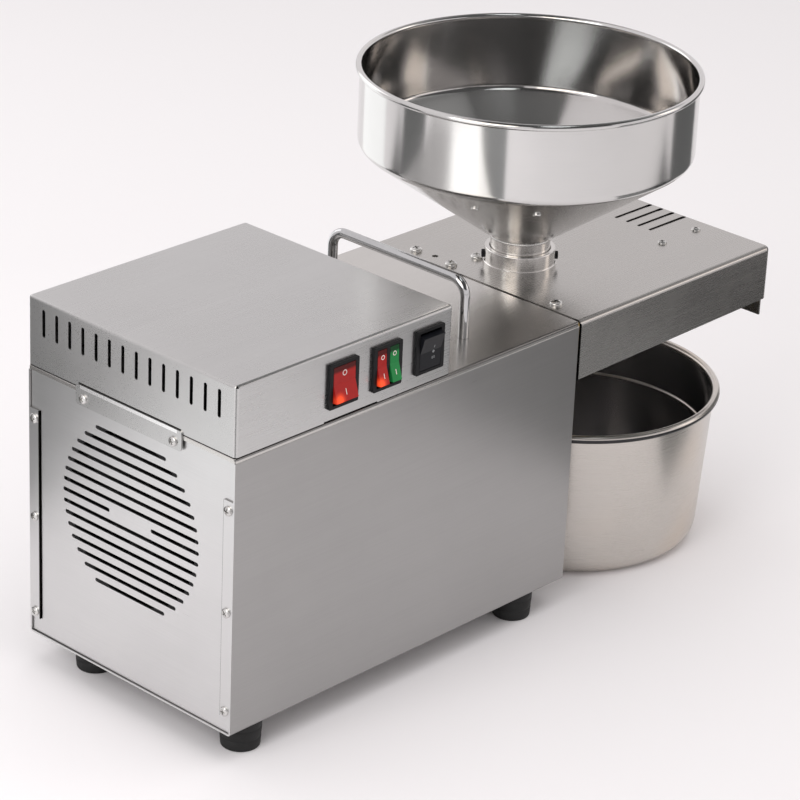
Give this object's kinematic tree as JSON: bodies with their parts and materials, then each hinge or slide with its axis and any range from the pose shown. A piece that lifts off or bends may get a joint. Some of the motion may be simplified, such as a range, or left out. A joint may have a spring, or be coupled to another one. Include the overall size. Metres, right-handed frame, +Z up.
{
  "type": "screw oil press",
  "caption": "Countertop screw oil press in brushed stainless sheet: vented switch housing, hooded press barrel, round feed hopper, carry handle and a loose oil pot.",
  "frame": {"origin": "middle of the whole object's footprint box, on the surface that its feet stand on", "axes": "+X from the fan end to the press end, +Z up; the switches face -Y"},
  "size_m": [0.5242, 0.234, 0.3542],
  "materials": {
    "stainless_sheet": "fine brushed stainless sheet",
    "polished_stainless": "polished spun stainless",
    "satin_stainless": "satin drawn stainless",
    "chrome_rod": "bright chrome plate",
    "zinc_hardware": "bright zinc plate",
    "black_rubber": "matt moulded rubber",
    "black_plastic": "moulded black plastic",
    "red_plastic": "clear-tinted glossy red",
    "green_plastic": "clear-tinted glossy green",
    "black_oxide": "black oxide",
    "machined_steel": "machined steel",
    "cast_aluminium": "as-cast aluminium",
    "motor_paint": "dark motor enamel",
    "heater_brass": "heat-stained band heater",
    "board_laminate": "circuit board laminate"
  },
  "bodies": {
    "machine": {"barrel_bolts": "zinc_hardware", "board_standoffs": "board_laminate", "carry_handle": "chrome_rod", "choke_nut": "machined_steel", "collar_set_screws": "black_oxide", "control_board": "board_laminate", "direction_switch_body": "black_plastic", "drive_base": "machined_steel", "drive_switch_body": "black_plastic", "fan_frame": "black_plastic", "fan_panel": "stainless_sheet", "feed_collar": "polished_stainless", "foot_screws": "zinc_hardware", "gearbox_bearings": "machined_steel", "gearbox_case": "cast_aluminium", "gearbox_cover": "cast_aluminium", "gearbox_pedestal": "cast_aluminium", "gearbox_screws": "zinc_hardware", "guard_plate": "stainless_sheet", "handle_nuts": "zinc_hardware", "heater_band": "heater_brass", "heater_switch_body": "black_plastic", "hood_bolts": "zinc_hardware", "hood_brackets": "zinc_hardware", "housing_wrapper": "stainless_sheet", "motor_bearings": "machined_steel", "motor_cradle": "cast_aluminium", "motor_front_bell": "cast_aluminium", "motor_rear_bell": "cast_aluminium", "motor_stator": "motor_paint", "motor_strap": "zinc_hardware", "pan_screws": "zinc_hardware", "power_inlet": "black_plastic", "press_barrel": "machined_steel", "press_end_plate": "machined_steel", "press_hood": "stainless_sheet", "rubber_feet": "black_rubber", "start_capacitor": "black_plastic", "switch_cover": "stainless_sheet", "terminal_block": "black_plastic", "thermal_cutout": "heater_brass", "thrust_ring": "machined_steel", "top_lid": "stainless_sheet"},
    "heater_rocker": {"heater_rocker": "red_plastic"},
    "drive_rocker": {"drive_rocker": "red_plastic"},
    "fan_rocker": {"fan_rocker": "green_plastic"},
    "direction_rocker": {"direction_rocker": "black_plastic"},
    "hopper": {"hopper_bowl": "polished_stainless", "hopper_neck": "polished_stainless", "hopper_rivets": "polished_stainless"},
    "pot": {"oil_pot": "satin_stainless"},
    "motor_spindle": {"motor_rotor": "motor_paint", "motor_pinion": "machined_steel"},
    "idler": {"idler_shaft": "machined_steel", "idler_gear": "machined_steel", "idler_pinion": "machined_steel"},
    "screw_drive": {"press_screw": "machined_steel", "drive_sleeve": "machined_steel", "output_gear": "machined_steel"},
    "fan_wheel": {"fan_rotor": "black_plastic"}
  },
  "joints": [
    {"name": "heater_rocker_tilt", "type": "hinge", "parent": "machine", "child": "heater_rocker", "pos_m": [-0.16925, -0.091, 0.2355], "axis": [1, 0, 0], "range_deg": [0, 18]},
    {"name": "drive_rocker_tilt", "type": "hinge", "parent": "machine", "child": "drive_rocker", "pos_m": [-0.13608, -0.091, 0.2355], "axis": [1, 0, 0], "range_deg": [0, 18]},
    {"name": "fan_rocker_tilt", "type": "hinge", "parent": "machine", "child": "fan_rocker", "pos_m": [-0.12502, -0.091, 0.2355], "axis": [1, 0, 0], "range_deg": [0, 18]},
    {"name": "direction_rocker_tilt", "type": "hinge", "parent": "machine", "child": "direction_rocker", "pos_m": [-0.09205, -0.091, 0.2355], "axis": [1, 0, 0], "range_deg": [-18, 0]},
    {"name": "hopper_lift", "type": "slide", "parent": "machine", "child": "hopper", "axis": [0, 0, 1], "range_m": [0, 0.12]},
    {"name": "pot_pull", "type": "slide", "parent": "machine", "child": "pot", "axis": [0, -1, 0], "range_m": [0, 0.22]},
    {"name": "motor_spin", "type": "hinge", "parent": "machine", "child": "motor_spindle", "pos_m": [-0.17015, 0, 0.1125], "axis": [1, 0, 0], "continuous": true},
    {"name": "idler_spin", "type": "hinge", "parent": "machine", "child": "idler", "pos_m": [-0.04215, 0.03212, 0.13462], "axis": [1, 0, 0], "continuous": true},
    {"name": "screw_spin", "type": "hinge", "parent": "machine", "child": "screw_drive", "pos_m": [-0.04215, 0, 0.1605], "axis": [1, 0, 0], "continuous": true},
    {"name": "fan_spin", "type": "hinge", "parent": "machine", "child": "fan_wheel", "pos_m": [-0.25655, 0, 0.1355], "axis": [1, 0, 0], "continuous": true}
  ],
  "couplings": [
    {"joint": "idler_spin", "follows": "motor_spin", "ratio": -0.18182},
    {"joint": "screw_spin", "follows": "motor_spin", "ratio": 0.040404}
  ]
}
